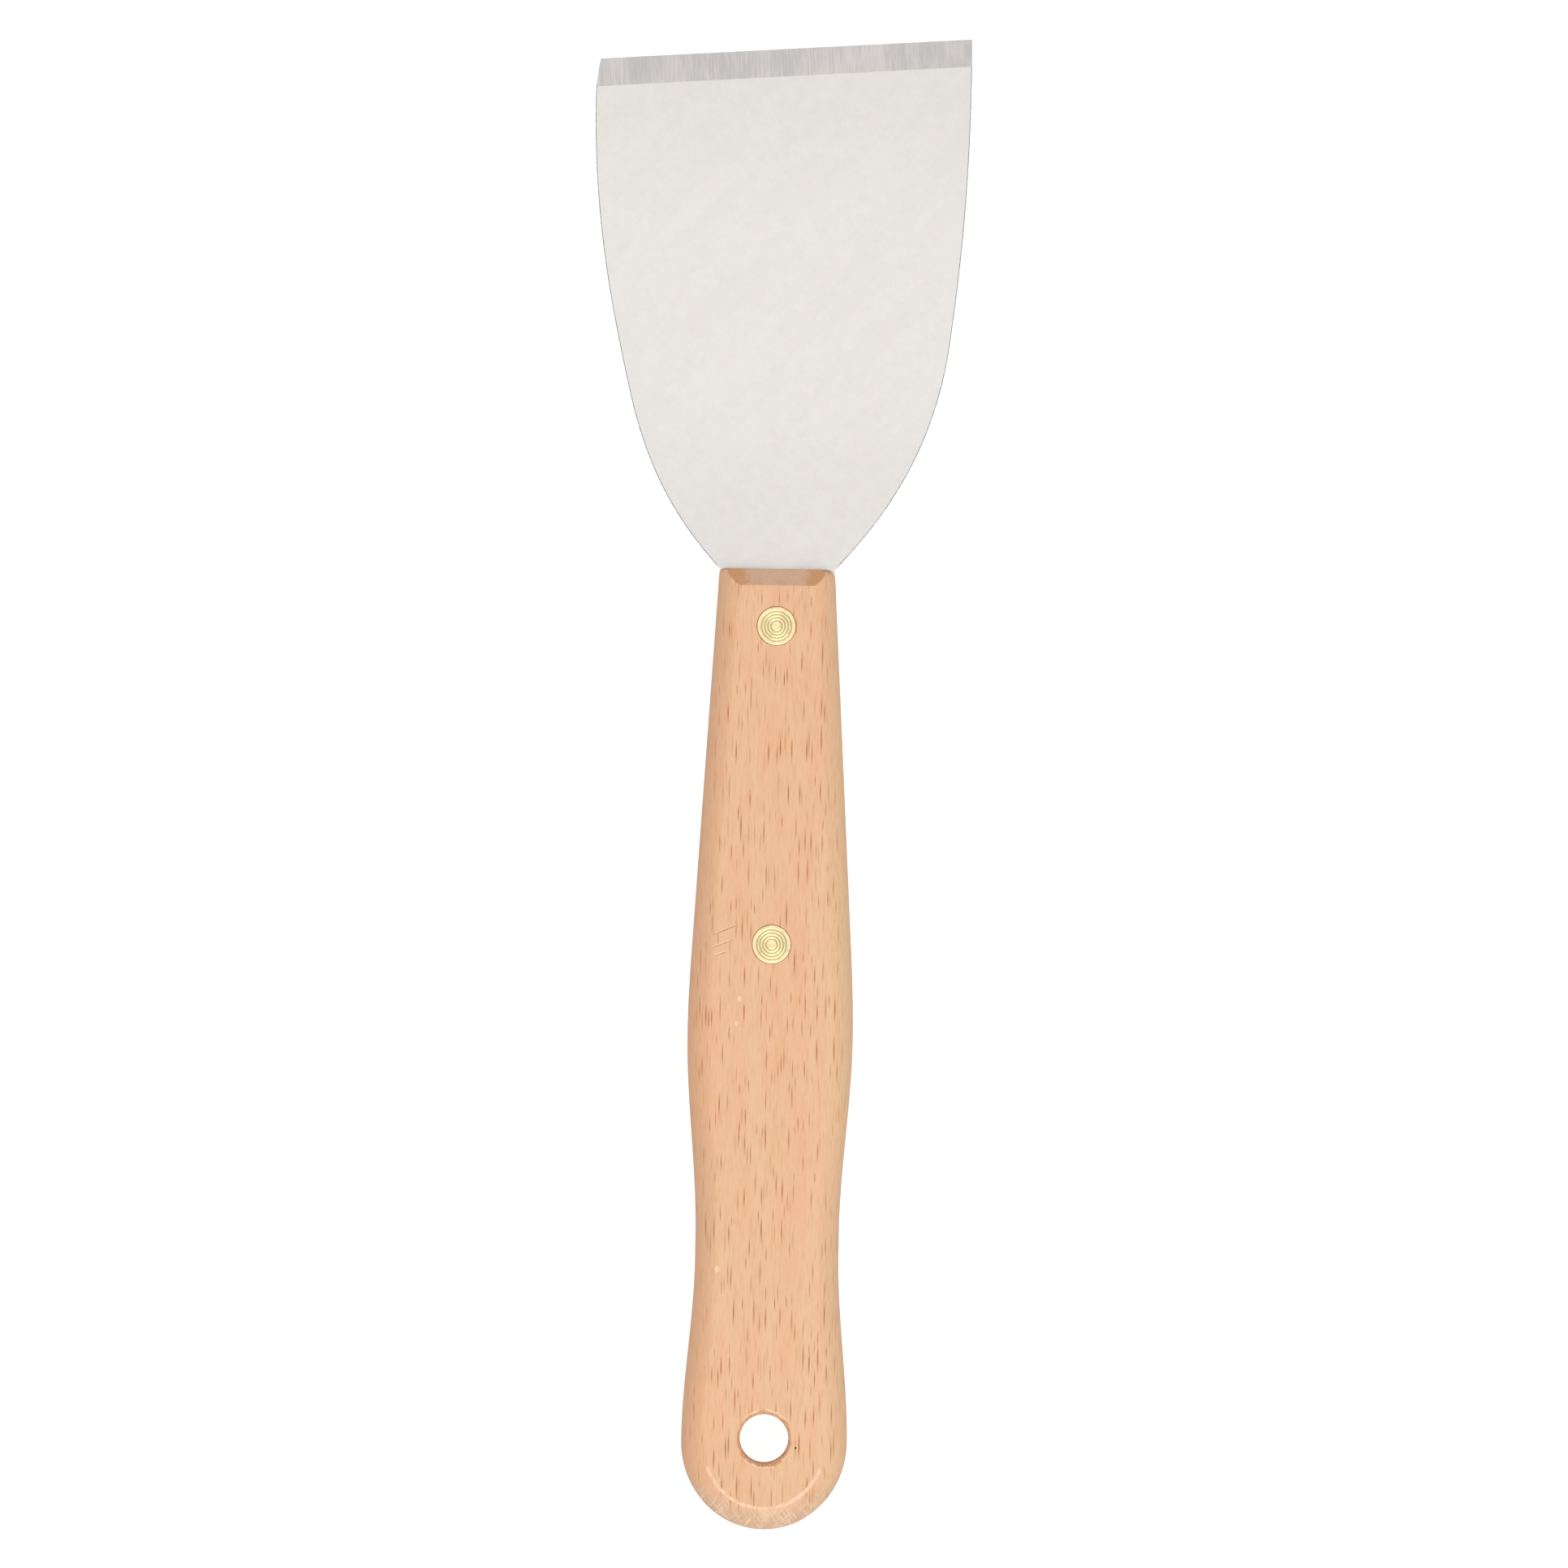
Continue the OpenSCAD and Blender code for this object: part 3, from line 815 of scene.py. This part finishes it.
def wear_cutters(sizes, at, scraped, shaded_wall):
    """Scratches beside the rear rivet, and a few small knocks on the front face."""
    rivet = foot_of("rear_rivet_pin")
    half_scratch = 0.26 * MM
    marks = []
    for x0, y0, x1, y1, deep in SCRATCHES:
        start = Vector((x0, y0, 0)) * MM
        end = Vector((x1, y1, 0)) * MM
        run = end - start
        bm = bmesh.new()
        bmesh.ops.create_uvsphere(bm, u_segments=4, v_segments=24, radius=1.0)
        # The sphere's poles become the scratch's two ends, and its four sides a V
        bmesh.ops.rotate(bm, verts=bm.verts, matrix=Matrix.Rotation(math.pi / 2, 3, "Y"))
        bmesh.ops.scale(bm, verts=bm.verts, vec=(run.length / 2, half_scratch, deep * MM))
        # The wall facing the blade takes the darker torn wood as painted shade, and the wall facing
        # the softbox takes the paler crushed wood as a painted highlight
        for face in bm.faces:
            face.material_index = int(face.normal.y < 0)
        turn = Matrix.Rotation(math.atan2(run.y, run.x), 3, "Z")
        bmesh.ops.rotate(bm, verts=bm.verts, matrix=turn)
        marks.append((bm, (start + end) / 2))
    for x, y, radius, deep in KNOCKS:
        bm = bmesh.new()
        bmesh.ops.create_icosphere(bm, subdivisions=3, radius=1.0)
        bmesh.ops.scale(bm, verts=bm.verts, vec=Vector((radius, 1.3 * radius, deep)) * MM)
        marks.append((bm, Vector((x, y, 0)) * MM))
    # A hair above the face, so that no row of a cutter's points lies in the face itself
    lift = 0.01 * MM
    for bm, place in marks:
        bmesh.ops.translate(bm, verts=bm.verts, vec=place + rivet)
        for vert in bm.verts:
            vert.co.z += face_height(sizes, at, vert.co.x, vert.co.y) + lift
    return [new_piece("wear_cutter", bm, [scraped, shaded_wall]) for bm, _ in marks]


# ---------------------------------------------------------------- the blade

# Sizes that each side of the blade has of its own, in the order that blade_side takes them
SIDE_SIZES = ("shoulder_in", "shoulder_at", "lean", "swell", "back")


def blade_side(corner, neck, flare, shoulder_in, shoulder_at, lean, swell, back):
    """One side of the blade from its neck to its corner, bulging towards +X."""
    stops = [
        (Vector((neck, 0)), flare),
        (Vector((corner.x - shoulder_in, shoulder_at)), lean),
        (Vector((corner.x + swell, corner.y - back)), 0.0),
        (corner, -math.atan2(2 * swell, back)),
    ]
    steps = 28
    pull_share = 0.36
    points = []
    for (a, lean_a), (b, lean_b) in zip(stops, stops[1:]):
        pull = pull_share * (b - a).length
        ahead = a + pull * Vector((math.sin(lean_a), math.cos(lean_a)))
        behind = b - pull * Vector((math.sin(lean_b), math.cos(lean_b)))
        for i in range(steps):
            t = i / steps
            u = 1 - t
            points.append(u**3 * a + 3 * u * u * t * ahead + 3 * u * t * t * behind + t**3 * b)
    return points + [corner]


def sheet_outline(sizes, front_width, at):
    """Outline of blade and tang in one sheet, anticlockwise from the tang's end."""
    across = sizes.edge_length * math.cos(sizes.edge_skew) / 2
    rise = sizes.edge_length * math.sin(sizes.edge_skew) / 2
    exposure = at["right_corner"] - at["front"] - rise
    neck = front_width / 2 - sizes.neck_in
    sides = []
    for hand, sign in (("right", 1), ("left", -1)):
        corner = Vector((across + sign * sizes.edge_shift, exposure + sign * rise))
        own = [getattr(sizes, f"{hand}_{key}") for key in SIDE_SIZES]
        sides.append(blade_side(corner, neck, sizes.neck_flare, *own))
    right, left = sides
    end_radius = sizes.tang_end_width / 2
    end_steps = 32
    end = []
    for i in range(end_steps + 1):
        a = math.pi * (1 + i / end_steps)
        y = at["tang_end"] - at["front"] + end_radius * (1 + math.sin(a))
        end.append(Vector((end_radius * math.cos(a), y)))
    ring = end + right + [Vector((-p.x, p.y)) for p in reversed(left)]
    return [p + Vector((0, at["front"])) for p in ring], exposure


def blade_mesh(sizes, front_width, at):
    """The sheet with stamped, slightly rounded sides and a strip ground along its edge."""
    outline, exposure = sheet_outline(sizes, front_width, at)
    bm = plate(outline, at["blade_back"], at["blade_face"])
    corner = [
        e for e in bm.edges if all(abs(v.co.y - at["right_corner"]) < TOUCH for v in e.verts)
    ]
    round_edges(bm, corner, sizes.corner_radius, 4)
    bmesh.ops.remove_doubles(bm, verts=bm.verts, dist=SLIVER)
    rim = []
    for e in bm.edges:
        a, b = (v.co for v in e.verts)
        level = abs(a.z - b.z) < TOUCH
        working_edge = abs(a.x - b.x) > sizes.edge_length / 2
        if level and not working_edge and min(a.y, b.y) > at["front"] - TOUCH:
            rim.append(e)
    round_edges(bm, rim, sizes.side_radius, 2)
    # The rounded sides take the dark sheared steel, partly as painted shade
    for face in bm.faces:
        if abs(face.normal.z) < 0.95:
            face.material_index = 1
    drop = at["blade_face"] - at["blade_back"] - sizes.edge_thickness
    skew = Matrix.Rotation(sizes.edge_skew, 3, "Z")
    slope = skew @ Vector((0, drop, sizes.ground_width))
    edge_middle = Vector((sizes.edge_shift, at["front"] + exposure, at["blade_face"] - drop))
    slice_off(bm, edge_middle, slope, material=2)
    return bm


# ---------------------------------------------------------------- the rivets


def groove_share(rivets, radius, r):
    """How deep in a ring groove a head of that radius is at r, from 0 on a ridge to 1."""
    grooves = [radius - rivets.ring_margin - i * rivets.ring_pitch for i in range(rivets.rings)]
    nearest = min((abs(r - groove) for groove in grooves), default=math.inf)
    return math.exp(-((nearest / rivets.ring_width) ** 2))


def head_profile(rivets, radius):
    """Grooved face and rounded rim of a head, from its middle out, as (radius, depth)."""
    rim = rivets.rim_round
    pitch = 0.04 * MM
    rim_steps = 5
    count = round((radius - rim) / pitch)
    profile = []
    for i in range(count + 1):
        r = (radius - rim) * i / count
        profile.append((r, rivets.ring_depth * groove_share(rivets, radius, r)))
    for i in range(1, rim_steps + 1):
        a = math.pi / 2 * i / rim_steps
        profile.append((radius - rim + rim * math.sin(a), rim - rim * math.cos(a)))
    return profile


def mark_grooves(bm, rivets, radius, low, high):
    """Records how deep in a groove each point of the head between two heights is."""
    groove = bm.verts.layers.float.new("groove")
    for vert in bm.verts:
        if low < vert.co.z < high:
            vert[groove] = groove_share(rivets, radius, vert.co.xy.length)


def rivet_pin(node, rivets, tilt):
    """Male half: a grooved head, leaning a little, over a solid pin."""
    low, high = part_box(node)
    radius = (high.x - low.x) / 2
    chamfer = 0.3 * MM
    top = high.z - radius * math.tan(tilt)
    under = high.z - rivets.head_thickness
    profile = [(r, top - depth) for r, depth in head_profile(rivets, radius)] + [
        (radius, under),
        (rivets.pin_radius, under),
        (rivets.pin_radius, low.z + chamfer),
        (rivets.pin_radius - chamfer, low.z),
        (0, low.z),
    ]
    bm = spun(profile)
    mark_grooves(bm, rivets, radius, under + TOUCH, math.inf)
    # The head leans towards +X and -Y, and its seat and pin stay square
    for vert in bm.verts:
        if vert.co.z > under + TOUCH:
            vert.co.z += (vert.co.x - vert.co.y) / math.sqrt(2) * math.tan(tilt)
    bmesh.ops.translate(bm, vec=foot_of(node), verts=bm.verts)
    return bm


def rivet_sleeve(node, rivets):
    """Female half: a grooved head, flush with the back face, under a tube."""
    low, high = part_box(node)
    radius = (high.x - low.x) / 2
    bore = rivets.pin_radius + rivets.pin_gap
    under = low.z + rivets.head_thickness
    profile = [(r, low.z + depth) for r, depth in head_profile(rivets, radius)] + [
        (radius, under),
        (rivets.sleeve_radius, under),
        (rivets.sleeve_radius, high.z),
        (bore, high.z),
        (bore, under),
        (0, under),
    ]
    bm = spun(profile)
    mark_grooves(bm, rivets, radius, -math.inf, under - TOUCH)
    bmesh.ops.translate(bm, vec=foot_of(node), verts=bm.verts)
    return bm


# ---------------------------------------------------------------- operators


class KNIFE_OT_add_handle(bpy.types.Operator):
    """Add the beech handle with its kerf, rivet seats and hang hole"""

    bl_idname = "knife.add_handle"
    bl_label = "Beech Handle"
    bl_options = {"REGISTER", "UNDO"}

    def execute(self, context):
        scene = context.scene
        sizes, rivets, colours = scene.knife_handle, scene.knife_rivets, scene.knife_colours
        at = places()
        sanded = material_of("sanded_beech", sanded_beech, colours)
        torn = material_of("torn_and_shaded_beech", torn_and_shaded_beech, colours)
        crushed = material_of("crushed_and_lit_beech", crushed_and_lit_beech, colours)
        sawn = material_of("sawn_beech", sawn_beech, colours)
        handle = new_piece("beech_handle", handle_blank(sizes, at), [sanded, crushed, sawn])
        cut(
            handle,
            [
                kerf_cutter(sizes, at, torn),
                rivet_cutter("front_rivet_pin", rivets, at, torn),
                rivet_cutter("rear_rivet_pin", rivets, at, torn),
                hang_hole_cutter(sizes, at, torn, crushed),
                *wear_cutters(sizes, at, crushed, torn),
            ],
        )
        shade(handle, 30)
        hand_in(handle, "handle")
        return {"FINISHED"}


class KNIFE_OT_add_blade(bpy.types.Operator):
    """Add the flared steel blade with its tang and ground strip"""

    bl_idname = "knife.add_blade"
    bl_label = "Steel Blade"
    bl_options = {"REGISTER", "UNDO"}

    def execute(self, context):
        scene = context.scene
        sizes, colours = scene.knife_blade, scene.knife_colours
        at = places()
        middle = (at["front"] + at["right_corner"]) / 2
        satin = material_of("satin_ground_steel", satin_steel, colours, middle)
        sheared_and_shaded = material_of("sheared_and_shaded_steel", sheared_and_shaded_steel, colours)
        strip = material_of("coarse_ground_steel", strip_steel, colours, sizes.edge_skew)
        mesh = blade_mesh(sizes, scene.knife_handle.front_width, at)
        blade = new_piece("steel_blade", mesh, [satin, sheared_and_shaded, strip])
        radius = scene.knife_rivets.sleeve_radius + scene.knife_rivets.sleeve_gap
        holes = []
        for node in ("front_rivet_sleeve", "rear_rivet_sleeve"):
            profile = [(0, 0), (radius, 0), (radius, at["thickness"]), (0, at["thickness"])]
            holes.append(new_piece("tang_cutter", spun(profile, foot_of(node)), [sheared_and_shaded]))
        cut(blade, holes)
        shade(blade, 30)
        hand_in(blade, "blade")
        return {"FINISHED"}


class KNIFE_OT_add_rivets(bpy.types.Operator):
    """Add the two halves of each brass rivet"""

    bl_idname = "knife.add_rivets"
    bl_label = "Brass Rivets"
    bl_options = {"REGISTER", "UNDO"}

    def execute(self, context):
        scene = context.scene
        rivets = scene.knife_rivets
        brass = material_of("turned_brass", turned_brass, scene.knife_colours)
        for end, tilt in (("front", rivets.front_tilt), ("rear", 0.0)):
            halves = {
                "pin": rivet_pin(f"{end}_rivet_pin", rivets, tilt),
                "sleeve": rivet_sleeve(f"{end}_rivet_sleeve", rivets),
            }
            for half, mesh in halves.items():
                piece = new_piece(f"brass_{end}_{half}", mesh, [brass])
                shade(piece, 40)
                hand_in(piece, f"{end}_rivet_{half}")
        return {"FINISHED"}


class KNIFE_OT_add_stage(bpy.types.Operator):
    """Add the pale table, the soft studio light and the camera"""

    bl_idname = "knife.add_stage"
    bl_label = "Stage"
    bl_options = {"REGISTER", "UNDO"}

    def execute(self, context):
        scene = context.scene
        make_table(scene.knife_colours)
        make_lights(scene)
        make_camera(scene)
        return {"FINISHED"}


def make_table(colours):
    """A wide, pale, faintly lit table top just under the knife."""
    bm = bmesh.new()
    bmesh.ops.create_grid(bm, x_segments=1, y_segments=1, size=8.0)
    bmesh.ops.translate(bm, vec=(0, 0, -0.05 * MM), verts=bm.verts)
    material, tree = new_material("opal_light_table")
    look = {
        "Base Color": colours.table,
        "Roughness": 0.9,
        "Emission Color": (1, 1, 1, 1),
        "Emission Strength": 0.95,
    }
    add(tree, "OutputMaterial", {"Surface": add(tree, "BsdfPrincipled", look)})
    table = new_piece("table", bm, [material])
    # The soft sky fills the knife's underside, so that the table doesn't flood its sides
    table.visible_diffuse = False
    table.visible_glossy = False


def make_lights(scene):
    """A soft sky, brighter overhead, and one big softbox on the butt's side."""
    world = bpy.data.worlds.new("soft_studio")
    world.use_nodes = True
    tree = world.node_tree
    tree.nodes.clear()
    way = add(tree, "SeparateXYZ", {0: add(tree, "TexCoord").outputs["Generated"]})
    lift = add(tree, "MapRange", {0: way.outputs["Z"], 1: 0.0, 2: 1.0, 3: 0.75, 4: 1.24}, **SOFT)
    sky = add(tree, "Background", {"Color": (1.0, 1.0, 1.0, 1.0), "Strength": lift})
    add(tree, "OutputWorld", {"Surface": sky})
    scene.world = world

    light = bpy.data.lights.new("softbox", "AREA")
    light.shape = "RECTANGLE"
    light.size = 1.6
    light.size_y = 1.2
    light.energy = 10.0
    softbox = bpy.data.objects.new("softbox", light)
    softbox.location = (0.3, -1.1, 1.2)
    softbox.rotation_euler = (-softbox.location).to_track_quat("-Z", "Y").to_euler()
    scene.collection.objects.link(softbox)
    scene.view_settings.view_transform = "Standard"


def make_camera(scene):
    """A long lens square on to the knife's front face, a hair towards the butt."""
    view_width = 321.4 * MM
    distance = 5.0
    lean = math.radians(0.4)
    roll = math.radians(0.88)
    centre = Vector((2.05, -0.2, 6.5)) * MM
    data = bpy.data.cameras.new("camera")
    data.sensor_width = 36.0
    data.lens = data.sensor_width * distance / view_width
    data.clip_start = 0.1
    data.clip_end = 30.0
    camera = bpy.data.objects.new("camera", data)
    turn = Matrix.Rotation(lean, 3, "X") @ Matrix.Rotation(roll, 3, "Z")
    camera.rotation_euler = turn.to_euler()
    camera.location = centre + turn @ Vector((0, 0, distance))
    scene.collection.objects.link(camera)
    scene.camera = camera


class KNIFE_PT_panel(bpy.types.Panel):
    """Buttons that build the knife, and the sizes that they use"""

    bl_label = "Drywall Knife"
    bl_idname = "KNIFE_PT_panel"
    bl_space_type = "VIEW_3D"
    bl_region_type = "UI"
    bl_category = "Knife"

    def draw(self, context):
        layout = self.layout
        for operator in OPERATORS:
            layout.operator(operator.bl_idname)
        for name, group in GROUPS.items():
            box = layout.box()
            box.label(text=group.__doc__)
            for key in group.__annotations__:
                box.prop(getattr(context.scene, name), key)


OPERATORS = (KNIFE_OT_add_stage, KNIFE_OT_add_handle, KNIFE_OT_add_blade, KNIFE_OT_add_rivets)


def register():
    for cls in (*GROUPS.values(), *OPERATORS, KNIFE_PT_panel):
        bpy.utils.register_class(cls)
    for name, group in GROUPS.items():
        setattr(bpy.types.Scene, name, PointerProperty(type=group))


def unregister():
    for name in GROUPS:
        delattr(bpy.types.Scene, name)
    for cls in reversed((*GROUPS.values(), *OPERATORS, KNIFE_PT_panel)):
        bpy.utils.unregister_class(cls)


def main():
    register()
    bpy.ops.knife.add_stage()
    bpy.ops.knife.add_handle()
    bpy.ops.knife.add_blade()
    bpy.ops.knife.add_rivets()


if __name__ == "__main__":
    main()
